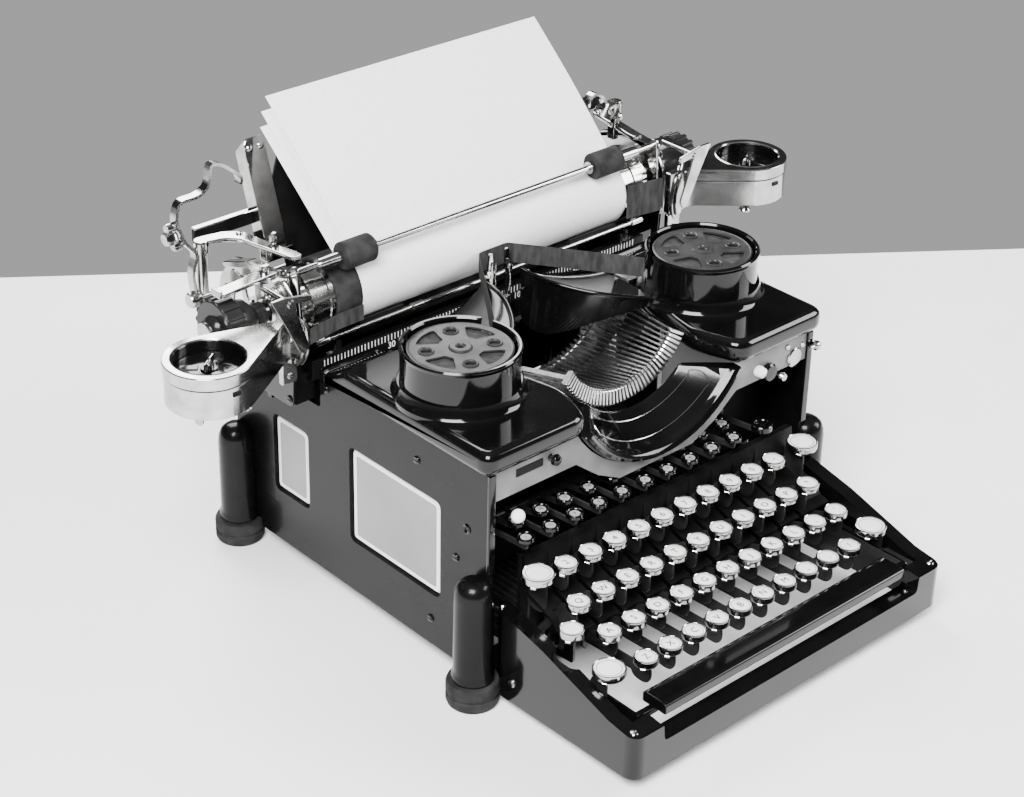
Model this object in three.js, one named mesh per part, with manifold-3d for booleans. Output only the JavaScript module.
// A standard office typewriter of the 1930s with glass side windows, a front-strike type basket,
// a round front shield, a long carriage with a copy-ribbon can at each end, and paper loaded.
// Millimetres. X runs to the typist's right, Y to the back and Z up. While it is built, X = 0 is
// the middle of the machine, Y = 0 the front face of its body and Z = 0 the surface it stands on.
import * as THREE from "three";
import { mergeVertices } from "three/addons/utils/BufferGeometryUtils.js";
import Module from "manifold-3d";

const wasm = await Module();
wasm.setup();

// Clearances
const GAP = 0.3; // between fixed neighbours

// Body
const PANEL_OUT = 132; // outer face of a side panel
const PANEL_IN = 128;
const BODY_BACK = 235;
const BODY_BOTTOM = 11;
const DECK_Z = [148, 163]; // under and upper side of the top plates
const REAR_TOP = 125; // top of the side panels where the carriage passes
const DECK_BACK = 146;
const FRONT_PLATE_LOW = 129;

// Feet
const FOOT = { x: 139, front: 3, back: 227, radius: 15.6, height: 15.7 };
const POST = { radius: 11.5, top: 82 };

// Keyboard
const KEY_PITCH = 19.05;
const KEY_RADIUS = 7.25;
const WIDE_KEY_RADIUS = 9.6;
const ROWS = [
  { count: 10, x: -95.3, y: -24.4, z: 89.1, bend: -0.4, barY: 175, above: true },
  { count: 11, x: -102, y: -42.2, z: 75.7, bend: -3.2, barY: 175, above: false },
  { count: 11, x: -95, y: -60, z: 62.3, bend: 4.1, barY: 160, above: true },
  { count: 10, x: -83, y: -77.8, z: 48.9, bend: 1.6, barY: 160, above: false },
];
const H_ROW = 2;
const H_INDEX = 5;
const LEVER = { low: 30.25, high: 37.75, thick: 1.5, back: 186.5 };
const FULCRUM = { y: 190, z: 34, radius: 2 };
const FRAME_X = [120, 130]; // side arms of the keyboard frame
const RAIL_Y = [-117, -105]; // its front rail
const SPACE_ARM_X = 112.95;
const SHIFT_ARM_X = 116.35;
const SHIFT_PIVOT_Y = 205;
const BACKSPACE_X = 104.4;
const MARGIN_RELEASE_X = -109.4;

// Type basket: every bar swings in a plane through the line X = 0, Z = PRINT.z
const PRINT = { y: 141, z: 188 };
const REST = { y: 29, z: 138 };
const PIVOT_DROP = 50; // pivot below the middle of the line from rest to print
const BAR_STEP = 4.2; // degrees between neighbouring bars
const BARS_EACH_SIDE = 16;
const BAR_THICK = 1.2;
const SLUG = { height: 9, depth: 4 };
const SEGMENT = { inner: 77, outer: 87, y: [99, 112] };

// Front shield ring around the basket
const SHIELD = { outer: 76, inner: 54.5, z: 187.7 };

// Ribbon cups
const CUP = { x: 98, y: 63, outer: 34.5, inner: 32.4, floor: 166.5, top: 191.5 };

// Carriage
const PLATEN = { y: 170, z: 188, radius: 22, half: 118, drum: 142, drumRadius: 20.5, shaft: 4 };
const KNOB_X = [157, 193];
const KNOB_RADIUS = 19;
const END_PLATE_X = [148.3, 152.3];
const CARRIAGE_Z = 131;
const RAIL = { y: [180, 196], z: [108, 130] };
const BAIL = { y: 153, z: 216, pivotY: 150, pivotZ: 184, radius: 2, roller: 8.5 };
const PAPER = { x: [-100, 116], inner: 22.4, thick: 0.6, topY: 238, topZ: 286 };
const TABLE = { y: 199, z: 170, lean: 18 };
const CAN = { y: 131, radius: 26, bore: 21, low: 172, high: 198 };
const CAN_LEFT_X = -221;
const CAN_RIGHT_X = 212;

// Solids from three.js geometry, for the boolean library
function solid(geometry) {
  const bare = geometry.clone();
  bare.deleteAttribute("normal");
  bare.deleteAttribute("uv");
  const merged = mergeVertices(bare, 1e-4);
  const triVerts = new Uint32Array(merged.index.array);
  const vertProperties = merged.attributes.position.array;
  const made = new wasm.Manifold(new wasm.Mesh({ numProp: 3, vertProperties, triVerts }));
  if (made.volume() > 0) return made;
  triVerts.reverse();
  return new wasm.Manifold(new wasm.Mesh({ numProp: 3, vertProperties, triVerts }));
}

function join(...solids) {
  return solids.reduce((whole, next) => whole.add(next));
}

function cut(body, ...tools) {
  return tools.reduce((whole, next) => whole.subtract(next), body);
}

function box([x0, x1], [y0, y1], [z0, z1]) {
  const geometry = new THREE.BoxGeometry(x1 - x0, y1 - y0, z1 - z0);
  return solid(geometry.translate((x0 + x1) / 2, (y0 + y1) / 2, (z0 + z1) / 2));
}

// A round bar between two points
function rod(from, to, radius, sides = 12) {
  const start = new THREE.Vector3(...from);
  const along = new THREE.Vector3(...to).sub(start);
  const geometry = new THREE.CylinderGeometry(radius, radius, along.length(), sides);
  const turn = new THREE.Quaternion().setFromUnitVectors(
    new THREE.Vector3(0, 1, 0),
    along.clone().normalize(),
  );
  geometry.applyQuaternion(turn);
  const middle = start.addScaledVector(along, 0.5);
  return solid(geometry.translate(middle.x, middle.y, middle.z));
}

// An outline with rounded corners, from points and one radius
function outline(points, radius = 0) {
  if (!radius) return new THREE.Shape(points.map(([a, b]) => new THREE.Vector2(a, b)));
  const shape = new THREE.Shape();
  points.forEach((point, i) => {
    const corner = new THREE.Vector2(...point);
    const before = new THREE.Vector2(...points[(i + points.length - 1) % points.length]);
    const after = new THREE.Vector2(...points[(i + 1) % points.length]);
    const inset = (towards) =>
      corner.clone().add(towards.clone().sub(corner).setLength(radius));
    const start = inset(before);
    const end = inset(after);
    if (i) shape.lineTo(start.x, start.y);
    else shape.moveTo(start.x, start.y);
    shape.quadraticCurveTo(corner.x, corner.y, end.x, end.y);
  });
  return shape;
}

function rectangle([a0, a1], [b0, b1]) {
  return [[a0, b0], [a1, b0], [a1, b1], [a0, b1]];
}

function extruded(shape, depth) {
  return new THREE.ExtrudeGeometry(shape, { depth, bevelEnabled: false, curveSegments: 3 });
}

// Flat plates: the outline is in (Y, Z), (X, Z) or (X, Y), and the plate lies between low and high
function plateX(shape, [low, high]) {
  const basis = new THREE.Matrix4().makeBasis(
    new THREE.Vector3(0, 1, 0),
    new THREE.Vector3(0, 0, 1),
    new THREE.Vector3(1, 0, 0),
  );
  return solid(extruded(shape, high - low).applyMatrix4(basis).translate(low, 0, 0));
}

function plateY(shape, [low, high]) {
  return solid(extruded(shape, high - low).rotateX(Math.PI / 2).translate(0, high, 0));
}

function plateZ(shape, [low, high]) {
  return solid(extruded(shape, high - low).translate(0, 0, low));
}

// Turned pieces: a closed profile of [radius, height] round the named axis through a point
function turned(axis, [x, y, z], profile, sides = 16) {
  const points = [...profile, profile[0]].map(([r, h]) => new THREE.Vector2(r, h));
  const geometry = new THREE.LatheGeometry(points, sides);
  if (axis === "x") geometry.rotateZ(-Math.PI / 2);
  if (axis === "z") geometry.rotateX(Math.PI / 2);
  return solid(geometry.translate(x, y, z));
}

function cylinderProfile(radius, [low, high]) {
  return [[0, low], [radius, low], [radius, high], [0, high]];
}

// A bent round wire
function wire(points, radius, sides = 5) {
  const path = new THREE.CatmullRomCurve3(points.map((p) => new THREE.Vector3(...p)));
  const section = new THREE.Shape();
  for (let i = 0; i < sides; i++) {
    const angle = (2 * Math.PI * i) / sides;
    const at = [radius * Math.cos(angle), radius * Math.sin(angle)];
    if (i) section.lineTo(...at);
    else section.moveTo(...at);
  }
  const steps = points.length * 2;
  return solid(
    new THREE.ExtrudeGeometry(section, { steps, extrudePath: path, bevelEnabled: false }),
  );
}

const machine = new THREE.Group();

function add(name, body, [color, roughness, metalness], parent = machine) {
  const made = body.getMesh();
  const geometry = new THREE.BufferGeometry();
  geometry.setAttribute("position", new THREE.BufferAttribute(made.vertProperties, 3));
  geometry.setIndex(new THREE.BufferAttribute(made.triVerts, 1));
  geometry.computeVertexNormals();
  const material = new THREE.MeshStandardMaterial({ color, roughness, metalness });
  const mesh = new THREE.Mesh(geometry, material);
  mesh.name = name;
  parent.add(mesh);
}

const ENAMEL = [0x0c0c0d, 0.25, 0];
const DULL_BLACK = [0x151516, 0.6, 0];
const NICKEL = [0xb9b7b0, 0.3, 1];
const STEEL = [0x8b8a86, 0.45, 1];
const KEY_WHITE = [0xe8e4d8, 0.4, 0];
const RUBBER = [0x161616, 0.85, 0];
const GLASS = [0xdfe8ea, 0.05, 0];
const PAPER_WHITE = [0xf2f1ec, 0.9, 0];
const RIBBON_INK = [0x1b1a1d, 0.9, 0];

const SIDES = [["left", -1], ["right", 1]];
const between = (side, [inner, outer]) => (side > 0 ? [inner, outer] : [-outer, -inner]);

// Side panels: pressed plates with two windows, each cast in one with its two foot posts
function sidePanel(side) {
  const edge = outline([
    [0, BODY_BOTTOM], [BODY_BACK, BODY_BOTTOM], [BODY_BACK, REAR_TOP], [149, REAR_TOP],
    [149, DECK_Z[0] - GAP], [0, DECK_Z[0] - GAP],
  ]);
  const plate = plateX(edge, between(side, [PANEL_IN, PANEL_OUT]));
  const through = between(side, [PANEL_IN - 5, PANEL_OUT + 5]);
  const big = plateX(outline(rectangle([40, 122.5], [45.7, 110.9]), 5), through);
  const small = plateX(outline(rectangle([162, 197], [46.8, 101]), 5), through);
  const posts = [FOOT.front, FOOT.back].map((y) =>
    turned("z", [side * FOOT.x, y, 0], [
      [0, FOOT.height + 0.6], [POST.radius, FOOT.height + 0.6], [POST.radius, POST.top - 8],
      [POST.radius * 0.75, POST.top - 2], [0, POST.top],
    ], 14),
  );
  const cups = [FOOT.front, FOOT.back].map((y) =>
    turned("z", [side * FOOT.x, y, 0], cylinderProfile(FOOT.radius + 0.5, [0, 16.2])),
  );
  return join(cut(plate, big, small, ...cups), ...posts);
}

// Glass: one pane behind each panel, standing into both windows
function glass(side) {
  const back = plateX(outline(rectangle([36, 201], [42, 114])), between(side, [125.7, 127.7]));
  const lips = [
    rectangle([40.5, 122], [46.2, 110.4]),
    rectangle([162.5, 196.5], [47.3, 100.5]),
  ].map((points) => plateX(outline(points, 5), between(side, [127, 130])));
  return join(back, ...lips);
}

// Rubber feet, one under each post
for (const [word, side] of SIDES) {
  add("side_panel_" + word, sidePanel(side), ENAMEL);
  add("window_glass_" + word, glass(side), GLASS);
  for (const place of ["front", "back"]) {
    const foot = turned("z", [side * FOOT.x, FOOT[place], 0], [
      [0, 0], [FOOT.radius - 0.8, 0], [FOOT.radius, 3], [FOOT.radius, FOOT.height], [0, FOOT.height],
    ]);
    add("foot_" + place + "_" + word, foot, RUBBER);
  }
}

// Base frame with the fulcrum rod that the key levers hook over
function baseFrame() {
  const tray = cut(
    box([-PANEL_IN + GAP, PANEL_IN - GAP], [2, 231], [BODY_BOTTOM + GAP, 17.3]),
    box([-112, 112], [16, 216], [0, 30]),
  );
  const corners = [-1, 1].flatMap((side) =>
    [FOOT.front, FOOT.back].map((y) =>
      turned("z", [side * FOOT.x, y, 0], cylinderProfile(FOOT.radius + 0.5, [0, 30])),
    ),
  );
  const ears = [-1, 1].map((side) =>
    box(between(side, [119, 123]), [184, 196], [16, FULCRUM.z + 5]),
  );
  const { y, z, radius } = FULCRUM;
  return join(cut(tray, ...corners), ...ears, rod([-121, y, z], [121, y, z], radius, 12));
}
add("base_frame", baseFrame(), DULL_BLACK);

const across = [-PANEL_IN + GAP, PANEL_IN - GAP];
const rearPanel = cut(
  box(across, [BODY_BACK - 3, BODY_BACK], [27, REAR_TOP - 1]),
  plateY(outline(rectangle([-60, 60], [60, 80]), 6), [BODY_BACK - 9, BODY_BACK + 9]),
);
add("rear_panel", rearPanel, ENAMEL);

// Front plate, hollowed for the round shield
function frontPlate() {
  const edge = outline([
    [across[0], FRONT_PLATE_LOW], [-66, FRONT_PLATE_LOW], [-48, 115], [-30, 106], [30, 106],
    [48, 115], [66, FRONT_PLATE_LOW], [across[1], FRONT_PLATE_LOW],
    [across[1], DECK_Z[0] - GAP], [across[0], DECK_Z[0] - GAP],
  ]);
  const hollow = rod([0, -5, SHIELD.z], [0, 9, SHIELD.z], SHIELD.outer + 1, 40);
  return cut(plateY(edge, [0, 3]), hollow);
}
add("front_plate", frontPlate(), ENAMEL);

// Shield: a beaded rim with a face that slopes in towards the type basket
function shield() {
  const { outer, inner, z } = SHIELD;
  const ring = turned("y", [0, 0, z], [
    [outer - 1.5, -6], [outer, -4.5], [outer, 2.5], [inner + 3, 22], [inner, 20.5],
    [outer - 6, -2], [outer - 5, -6],
  ], 40);
  return ring.intersect(box([-outer, outer], [-10, 30], [z - outer - 5, DECK_Z[0] - GAP - 0.1]));
}
add("front_shield", shield(), ENAMEL);

// Top plates with a low round base under each ribbon cup
function deck(side) {
  const edge = [
    [137.5, -5], [137.5, DECK_BACK], [90, DECK_BACK], [90, 98], [71, 95], [65, 80],
    [57, 50], [52, 25], [63, -5],
  ].map(([x, y]) => [side * x, y]);
  return plateZ(outline(edge, 2.5), DECK_Z);
}

// Open ribbon cups, slotted where the ribbon leaves
function ribbonCup(side) {
  const { x, y, outer, inner, floor, top } = CUP;
  const low = DECK_Z[1] + GAP;
  const wall = turned("z", [side * x, y, 0], [
    [0, low], [outer + 1.5, low], [outer, low + 4], [outer, top - 2],
    [outer + 0.8, top], [inner, top], [inner, floor], [0, floor],
  ], 24);
  const slot = box([-4, 4], [0, 60], [floor + 8, top + 5])
    .rotate([0, 0, side * 68])
    .translate([side * x, y, 0]);
  return cut(wall, slot);
}

// Ribbon spools: hub, two flanges and the wound ribbon, with three holes in the upper flange
function ribbonSpool(side) {
  const { x, y, floor } = CUP;
  const low = floor + 1;
  const core = turned("z", [side * x, y, 0], [
    [0, low], [30.5, low], [30.5, low + 1.2], [21, low + 1.2], [21, low + 18],
    [30.5, low + 18], [30.5, low + 19.2], [6, low + 19.2], [6, low + 22], [0, low + 22],
  ]);
  const holes = [0, 1, 2].map((i) => {
    const angle = (i + 0.5) * ((2 * Math.PI) / 3);
    const at = [side * x + 26 * Math.cos(angle), y + 26 * Math.sin(angle)];
    return rod([...at, low + 17], [...at, low + 21], 2.5, 6);
  });
  return cut(core, ...holes);
}

for (const [word, side] of SIDES) {
  add("deck_" + word, deck(side), ENAMEL);
  add("ribbon_cup_" + word, ribbonCup(side), ENAMEL);
  add("ribbon_spool_" + word, ribbonSpool(side), NICKEL);
}

// Keyboard frame: two sloping side arms and a front rail that dips behind the space bar
function keyboardFrame() {
  const [front, inside] = RAIL_Y;
  const arm = outline([
    [front, 9], [-0.5, 5], [-0.5, 57], [-43, 49], [-104, 37.5], [front, 39],
  ]);
  const arms = SIDES.map(([, side]) => plateX(arm, between(side, FRAME_X)));
  const rail = outline([
    [-125, 9], [125, 9], [125, 39], [112, 39], [107, 24], [-107, 24], [-112, 39], [-125, 39],
  ]);
  const posts = SIDES.map(([, side]) =>
    turned("z", [side * FOOT.x, FOOT.front, 0], cylinderProfile(FOOT.radius + 0.5, [0, 90])),
  );
  return cut(join(...arms, plateY(rail, [front, inside])), ...posts);
}
add("keyboard_frame", keyboardFrame(), ENAMEL);

// Lever centres of a row: each key bends over to its own place in the comb
function leverXs(row) {
  return Array.from({ length: row.count }, (_, i) => row.x + row.bend + i * KEY_PITCH);
}

// Comb: the slotted guard that the key levers rise and fall in, two to a slot
function leverComb() {
  const plate = box([-111.6, 111.6], [-6, -3], [8.5, 90]);
  const feet = box([-FRAME_X[0] + GAP, FRAME_X[0] - GAP], [-6, -3], [8.5, 15]);
  const levers = [...ROWS.flatMap(leverXs), BACKSPACE_X, MARGIN_RELEASE_X].sort((a, b) => a - b);
  const slots = [];
  for (let i = 0; i < levers.length; i += 2) {
    const last = levers[Math.min(i + 1, levers.length - 1)];
    slots.push(box([levers[i] - 1.4, last + 1.4], [-10, 0], [16, 41]));
  }
  return cut(join(plate, feet), ...slots);
}
add("lever_comb", leverComb(), DULL_BLACK);

// A key: a round cap on a flat lever whose front end turns up under it
function keyLever(x, y, z, leverX, radius) {
  const half = LEVER.thick / 2;
  const cap = turned("z", [x, y, 0], cylinderProfile(radius, [z - 5, z]), 8);
  const lever = outline([
    [y - 3, LEVER.low], [LEVER.back, LEVER.low], [LEVER.back, LEVER.high], [y + 3, LEVER.high],
    [y + 3, z - 4], [y - 3, z - 4],
  ]);
  return join(cap, plateX(lever, [leverX - half, leverX + half]));
}

// A row of keys, tied together near the fulcrum by a bar over or under the other rows' levers
function keyRow(row, skip) {
  const { y, z, barY, above } = row;
  const kept = leverXs(row).filter((_, i) => i !== skip);
  const keys = kept.map((leverX) =>
    keyLever(leverX - row.bend, y, z, leverX, KEY_RADIUS),
  );
  const reach = above ? [LEVER.high - 1, 44] : [22, LEVER.low + 1];
  const posts = kept.map((x) => box([x - 0.75, x + 0.75], [barY - 2, barY + 2], reach));
  const bar = box([kept[0] - 0.75, kept.at(-1) + 0.75], [barY - 2, barY + 2],
    above ? [44 - 0.5, 47] : [19, 22.5]);
  return join(bar, ...posts, ...keys);
}

ROWS.forEach((row, i) =>
  add("key_row_" + (i + 1), keyRow(row, i === H_ROW ? H_INDEX : -1), KEY_WHITE),
);
const hRow = ROWS[H_ROW];
const hLeverX = leverXs(hRow)[H_INDEX];
add("key_h", keyLever(hLeverX - hRow.bend, hRow.y, hRow.z, hLeverX, KEY_RADIUS), KEY_WHITE);
add("backspace_key", keyLever(105, -22, 89, BACKSPACE_X, WIDE_KEY_RADIUS), KEY_WHITE);
add("margin_release_key", keyLever(-114, -22, 89, MARGIN_RELEASE_X, WIDE_KEY_RADIUS), KEY_WHITE);

// Space bar on two arms
function spaceBar() {
  const bar = plateX(outline([[-111, 36], [-93, 36], [-93, 40], [-97, 43], [-107, 43],
    [-111, 40]]), [-101, 101]);
  const ties = SIDES.map(([, side]) => box(between(side, [98, SPACE_ARM_X]), [-103, -99],
    [33, 37.5]));
  const arms = SIDES.map(([, side]) => {
    const x = [SPACE_ARM_X - 0.75, SPACE_ARM_X + 0.75];
    return box(between(side, x), [-103, 12], [LEVER.low, LEVER.high]);
  });
  return join(bar, ...ties, ...arms);
}
add("space_bar", spaceBar(), DULL_BLACK);

// Shift keys at both sides, tied by a rock shaft behind the levers
function shiftKeys() {
  const arms = SIDES.map(([, side]) => {
    const x = between(side, [SHIFT_ARM_X - 0.75, SHIFT_ARM_X + 0.75]);
    const cap = turned("z", [side * 110, -76, 0], cylinderProfile(WIDE_KEY_RADIUS, [48.4, 53]), 12);
    const neck = box(between(side, [108, SHIFT_ARM_X + 0.75]), [-79, -73], [48.4, 51]);
    const stem = box(x, [-79, -73], [LEVER.low, 50]);
    const bar = box(x, [-79, SHIFT_PIVOT_Y], [LEVER.low, LEVER.high]);
    const eye = box(x, [181, 199], [26, 42]);
    return join(cap, neck, stem, bar, eye);
  });
  const half = SHIFT_ARM_X + 0.75;
  const shaft = rod([-half, SHIFT_PIVOT_Y, FULCRUM.z], [half, SHIFT_PIVOT_Y, FULCRUM.z], 3, 12);
  const clear = rod([-130, FULCRUM.y, FULCRUM.z], [130, FULCRUM.y, FULCRUM.z], 4, 12);
  return join(cut(join(arms[0], shaft, arms[1]), clear));
}
add("shift_keys", shiftKeys(), NICKEL);

// Shift lock: a small key pivoted on top of the left shift arm
function shiftLock() {
  const x = [-SHIFT_ARM_X - 0.75, -SHIFT_ARM_X + 0.75];
  const foot = box(x, [-55, -24], [LEVER.high + 5, LEVER.high + 9]);
  const stem = box(x, [-55, -49], [LEVER.high + 7, 65]);
  const cap = turned("z", [-116.2, -52, 0], cylinderProfile(KEY_RADIUS - 0.6, [64, 69]), 10);
  return cut(join(foot, stem, cap), box(between(-1, FRAME_X), [-70, -40], [0, 100]));
}
add("shift_lock", shiftLock(), NICKEL);

// Tabulator keys: two short rows and one larger key on a common bar
function tabulatorKeys() {
  const bar = box([-117, 84], [24, 28], [95, 99]);
  const key = (x, y, z, radius) => {
    const cap = turned("z", [x, y, 0], cylinderProfile(radius, [z - 3, z]), 6);
    const stem = box([x - 0.8, x + 0.8], [y - 2, 25], [97, z - 2.5]);
    return join(cap, stem);
  };
  const front = Array.from({ length: 10 }, (_, i) => key(-114.6 + i * 18.6, -12, 108, 5.2));
  const rear = Array.from({ length: 10 }, (_, i) => key(-105.3 + i * 18.6, 6, 106, 4.6));
  return join(bar, ...front, ...rear, key(78, -12, 107, 6.5));
}
add("tabulator_keys", tabulatorKeys(), DULL_BLACK);

// Ribbon switch: a small lever with a ball end at the left of the front opening
function ribbonSwitch() {
  const ball = solid(new THREE.SphereGeometry(4, 10, 8).translate(-117, -8, 120));
  return join(ball, rod([-117, -8, 120], [-117, 30, 117], 1.4, 8));
}
add("ribbon_switch", ribbonSwitch(), KEY_WHITE);

// Type bars
const restToPrint = { y: PRINT.y - REST.y, z: PRINT.z - REST.z };
const spanRestPrint = Math.hypot(restToPrint.y, restToPrint.z);
const PIVOT = {
  y: (PRINT.y + REST.y) / 2 + (PIVOT_DROP * restToPrint.z) / spanRestPrint,
  z: (PRINT.z + REST.z) / 2 - (PIVOT_DROP * restToPrint.y) / spanRestPrint,
};
const BAR_LENGTH = Math.hypot(PRINT.y - PIVOT.y, PRINT.z - PIVOT.z);
const barAngle = Math.atan2(REST.z - PIVOT.z, REST.y - PIVOT.y);
const printAngle = Math.atan2(PRINT.z - PIVOT.z, PRINT.y - PIVOT.y);
const swing = barAngle - printAngle;

// One bar in the middle plane at rest, drawn along +Y from its pivot and turned into place
function typeBar() {
  const slug = rectangle([-0.5, SLUG.depth - 0.5], [-SLUG.height / 2, SLUG.height / 2]);
  const along = barAngle - swing;
  const tip = ([a, b]) => [
    BAR_LENGTH + a * Math.cos(along) + b * Math.sin(along),
    b * Math.cos(along) - a * Math.sin(along),
  ];
  const thick = [-BAR_THICK / 2, BAR_THICK / 2];
  return join(
    plateX(outline([[-3, -3], [BAR_LENGTH, -1.5], [BAR_LENGTH, 1.5], [-3, 3]]), thick),
    plateX(outline(slug.map(tip)), thick),
  )
    .rotate([(barAngle * 180) / Math.PI, 0, 0])
    .translate([0, PIVOT.y, PIVOT.z]);
}

// Turns a piece of the basket about the line that all the bars meet on
function fanned(piece, degrees) {
  return piece
    .translate([0, 0, -PRINT.z])
    .rotate([0, degrees, 0])
    .translate([0, 0, PRINT.z]);
}

function typeFan() {
  const reach = PRINT.z - PIVOT.z;
  const hoop = solid(
    new THREE.TorusGeometry(reach, 0.8, 4, 40).rotateX(Math.PI / 2).translate(0, PIVOT.y, PRINT.z),
  ).intersect(box([-90, 90], [90, 120], [100, PRINT.z - reach * 0.33]));
  const bars = [];
  for (let i = -BARS_EACH_SIDE; i <= BARS_EACH_SIDE; i++) {
    if (i) bars.push(fanned(typeBar(), i * BAR_STEP));
  }
  return join(hoop, ...bars);
}

function segment() {
  const { inner, outer, y } = SEGMENT;
  const ring = turned("y", [0, 0, PRINT.z], [[inner, y[0]], [outer, y[0]], [outer, y[1]],
    [inner, y[1]]], 36);
  return ring.intersect(box([-90, 90], y, [90, 162]));
}
add("type_segment", segment(), STEEL);
add("type_bars", typeFan(), NICKEL);
const hook = rod([-3, PIVOT.y, PIVOT.z], [3, PIVOT.y, PIVOT.z], 1.7, 8);
add("type_bar_h", cut(typeBar(), hook), NICKEL);

// Ribbon guide: a fork in front of the print point, and the ribbon between the cups
function ribbonGuide() {
  const tines = SIDES.map(([, side]) => box(between(side, [5, 9]), [138, 143], [152, 190]));
  return join(...tines, box([-9, 9], [138, 143], [150, 158]));
}
add("ribbon_guide", ribbonGuide(), NICKEL);

function ribbon() {
  const turns = [[-61, 76], [-13, 143.9], [-9, 145.5], [9, 145.5], [13, 143.9], [61, 76]];
  const half = 0.3;
  const edge = (offset) => turns.map(([x, y]) => [x, y + offset]);
  return plateZ(outline([...edge(-half), ...edge(half).reverse()]), [177, 190]);
}
add("ribbon", ribbon(), RIBBON_INK);

// Works behind the basket: carriage rail, mainspring drum, escapement wheel and bell
const railBody = box([-125.4, 125.4], RAIL.y, RAIL.z);
add("carriage_rail", railBody, STEEL);

const drum = turned("y", [-85, 0, 82], [[0, 203], [26, 203], [26, 206], [22, 206], [22, 219],
  [26, 219], [26, 222], [6, 222], [6, 231.4], [0, 231.4]]);
add("spring_drum", drum, STEEL);

function escapementWheel() {
  const teeth = 14;
  const points = [];
  for (let i = 0; i < teeth; i++) {
    const base = (2 * Math.PI * i) / teeth;
    for (const [radius, lead] of [[16, 0], [18.5, 0.02], [16.4, 0.2]]) {
      points.push([radius * Math.cos(base + lead), 90 + radius * Math.sin(base + lead)]);
    }
  }
  const wheel = plateY(outline(points), [206, 209]);
  return join(wheel, rod([0, 205, 90], [0, 231.4, 90], 5, 16));
}
add("escapement_wheel", escapementWheel(), STEEL);

const bell = turned("y", [78, 0, 92], [[0, 208], [8, 209.5], [14, 213], [17, 219], [18, 225],
  [16.5, 225], [15.5, 219], [12.5, 214.5], [7, 211.5], [3, 210.9], [3, 231.4], [0, 231.4]]);
add("bell", bell, NICKEL);

// Carriage: bed with two lips round the rail, end plates, scale and paper table
function carriageFrame() {
  const x = [-148, 148];
  const top = CARRIAGE_Z + 3.5;
  return join(
    box(x, [152, 216], [CARRIAGE_Z, top]),
    box(x, [RAIL.y[0] - 4.5, RAIL.y[0] - 0.8], [REAR_TOP + 0.8, top]),
    box(x, [RAIL.y[1] + 0.8, RAIL.y[1] + 4.5], [REAR_TOP + 0.8, top]),
    box(x, [152, 155], [CARRIAGE_Z, 156]),
    box(x, [212, 216], [CARRIAGE_Z, 172]),
  );
}
add("carriage_frame", carriageFrame(), ENAMEL);

function endPlate(side) {
  const edge = outline([
    [150, CARRIAGE_Z], [220, CARRIAGE_Z], [220, 196], [206, 210], [176, 214], [158, 212],
    [147, 200], [145, 176],
  ], 3);
  const plate = plateX(edge, between(side, END_PLATE_X));
  const hole = (y, z, radius) => rod([-160, y, z], [160, y, z], radius, 8);
  return cut(plate, hole(PLATEN.y, PLATEN.z, PLATEN.shaft + 1), hole(212, 186, 3.2));
}
for (const [word, side] of SIDES) add("end_plate_" + word, endPlate(side), NICKEL);

add("margin_scale", box([-136, 136], [149, 151.7], [144, 156]), NICKEL);

// Paper table: a leaning back plate with a bright arm at each side
function paperTable() {
  const sheet = outline([[-112, 12], [112, 12], [112, 70], [96, 96], [-96, 96], [-112, 70]]);
  const arms = SIDES.map(([, side]) => plateY(outline(rectangle(between(side, [118, 132]),
    [34, 106]), 3), [0, 2.4]));
  const strip = plateY(outline(rectangle([-125, 125], [36, 48])), [0, 2.4]);
  return join(plateY(sheet, [0, 2.4]), strip, ...arms)
    .rotate([-TABLE.lean, 0, 0])
    .translate([0, TABLE.y, TABLE.z]);
}
add("paper_table", paperTable(), DULL_BLACK);

// Paper: round the under and front side of the platen, then straight up and back
function paper() {
  const { inner, thick, topY, topZ, x } = PAPER;
  const middle = inner + thick / 2;
  const far = Math.hypot(topY - PLATEN.y, topZ - PLATEN.z);
  const leave = Math.atan2(topZ - PLATEN.z, topY - PLATEN.y) + Math.acos(middle / far);
  const start = (285 * Math.PI) / 180;
  const steps = 14;
  const arc = (radius) =>
    Array.from({ length: steps + 1 }, (_, i) => {
      const angle = start + ((leave - start) * i) / steps;
      return [PLATEN.y + radius * Math.cos(angle), PLATEN.z + radius * Math.sin(angle)];
    });
  const lean = leave - Math.PI / 2;
  const reach = Math.sqrt(far * far - middle * middle);
  const end = ([y, z]) => [y + reach * Math.cos(lean), z + reach * Math.sin(lean)];
  const outside = arc(inner + thick);
  const inside = arc(inner);
  const edge = [...outside, end(outside.at(-1)), end(inside.at(-1)), ...inside.reverse()];
  return plateX(outline(edge), x);
}
add("paper", paper(), PAPER_WHITE);

// Platen with its ratchet drums and shaft, and a knob on each end
function platen() {
  const { y, z, radius, half, drum: drumX, drumRadius, shaft } = PLATEN;
  const end = KNOB_X[0] - GAP;
  return turned("x", [0, y, z], [
    [0, -end], [shaft, -end], [shaft, -drumX], [drumRadius, -drumX], [drumRadius, -half],
    [radius, -half], [radius, half], [drumRadius, half], [drumRadius, drumX], [shaft, drumX],
    [shaft, end], [0, end],
  ], 22);
}
add("platen", platen(), RUBBER);

function knob(side) {
  const [inner, outer] = KNOB_X;
  const profile = [[0, inner], [13, inner], [15, inner + 4], [KNOB_RADIUS, inner + 9],
    [KNOB_RADIUS, outer - 4], [KNOB_RADIUS - 3, outer], [0, outer]];
  const flipped = side > 0 ? profile : profile.map(([r, h]) => [r, -h]);
  return turned("x", [0, PLATEN.y, PLATEN.z], flipped, 18);
}
for (const [word, side] of SIDES) add("platen_knob_" + word, knob(side), DULL_BLACK);

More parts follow.
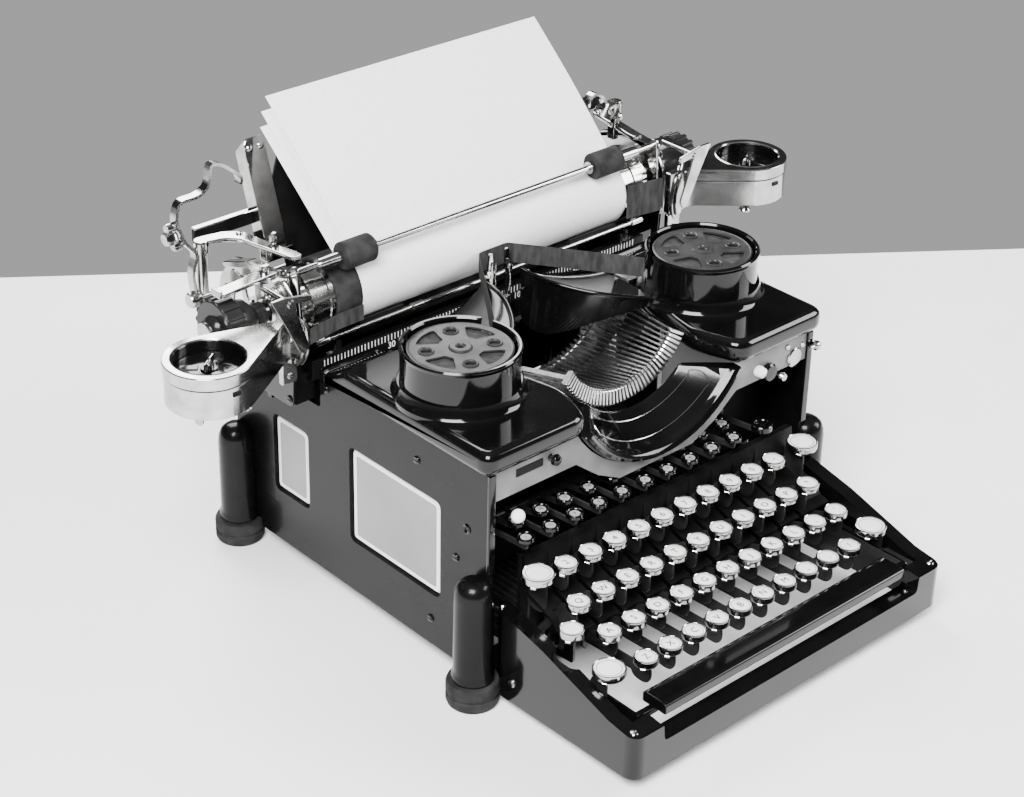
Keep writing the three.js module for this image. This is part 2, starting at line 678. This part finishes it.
const FEED = { radius: 7, z: PLATEN.z - PAPER.inner - PAPER.thick - 0.5 - 7 };
const feedRoller = turned("x", [0, PLATEN.y, FEED.z], [
  [0, -147.7], [2.5, -147.7], [2.5, -90], [FEED.radius, -90], [FEED.radius, 90],
  [2.5, 90], [2.5, 147.7], [0, 147.7],
], 12);
add("feed_roller", feedRoller, RUBBER);

// Paper bail: rod, two rollers and an arm down to the pivot at each end
function bail() {
  const { y, z, pivotY, pivotZ, radius, roller } = BAIL;
  const arms = SIDES.map(([, side]) => {
    const x = between(side, [144, 146.5]);
    return join(
      plateX(outline([[pivotY - 3, pivotZ], [pivotY + 3, pivotZ], [y + 3, z], [y - 3, z]]), x),
      rod([x[0], pivotY, pivotZ], [x[1], pivotY, pivotZ], 4, 8),
      rod([x[0], y, z], [x[1], y, z], 4, 8),
    );
  });
  const rollers = SIDES.map(([, side]) => {
    const x = between(side, [90, 102]);
    return rod([x[0], y, z], [x[1], y, z], roller, 16);
  });
  return join(rod([-145, y, z], [145, y, z], radius, 8), ...arms, ...rollers);
}
add("paper_bail", bail(), NICKEL);

// Line-space lever over the left knob, and the release levers on their shaft
function lineSpaceLever() {
  const bar = plateZ(outline([[-192, 158], [-149, 163], [-149, 174], [-192, 168]], 2),
    [217, 219.5]);
  return join(bar, rod([-155, 168.5, 214.6], [-155, 168.5, 218], 3.5, 16));
}
add("line_space_lever", lineSpaceLever(), NICKEL);

function releaseLevers() {
  const bows = SIDES.map(([, side]) =>
    wire(
      [[176, 212, 186], [188, 210, 200], [186, 211, 218], [170, 214, 230], [162, 216, 246],
        [150, 218, 256], [139, 218, 250]].map(([x, y, z]) => [side * x, y, z]),
      2.2,
    ),
  );
  return join(rod([-177, 212, 186], [177, 212, 186], 2.2, 8), ...bows);
}
add("release_levers", releaseLevers(), NICKEL);

// Margin stops, sliding along the top of the scale
for (const [word, side] of SIDES) {
  const x = side * 118;
  const stop = join(
    box([x - 5, x + 5], [148.2, 154.5], [156.4, 160]),
    box([x - 2, x + 2], [148.2, 150.5], [158, 165]),
  );
  add("margin_stop_" + word, stop, NICKEL);
}

// Copy-ribbon cans: a round open housing with a nose that runs in to the end plate
function copyCan(x) {
  const side = Math.sign(x);
  const { y, radius, bore, low, high } = CAN;
  const at = [x, y, 0];
  const round = turned("z", at, [[0, low], [radius - 3, low], [radius, low + 3],
    [radius, high], [0, high]], 24);
  const hole = turned("z", at, cylinderProfile(bore, [low + 3, high + 5]), 24);
  const nose = plateZ(outline([
    [x, y - radius + 1], [side * 175, 138], [side * (END_PLATE_X[1] + GAP), 138],
    [side * (END_PLATE_X[1] + GAP), 146], [side * 185, 147.5], [x, y + radius - 4],
  ]), [low + 3, high - 1]);
  return cut(join(round, nose), hole);
}

function canSpool(x) {
  const { y, low } = CAN;
  const core = turned("z", [x, y, 0], [[0, low + 4], [19, low + 4], [19, low + 18],
    [5, low + 18], [5, low + 23], [0, low + 23]], 18);
  return join(core, box([x - 11, x + 11], [y - 1.2, y + 1.2], [low + 17, low + 22]));
}
for (const [word, x] of [["left", CAN_LEFT_X], ["right", CAN_RIGHT_X]]) {
  add("copy_can_" + word, copyCan(x), NICKEL);
  add("can_spool_" + word, canSpool(x), DULL_BLACK);
}

// The part's own frame: the middle of its foot print on the surface it stands on
const bounds = new THREE.Box3().setFromObject(machine);
const centre = bounds.getCenter(new THREE.Vector3());
machine.position.set(-centre.x, -centre.y, -bounds.min.z);

export default machine;
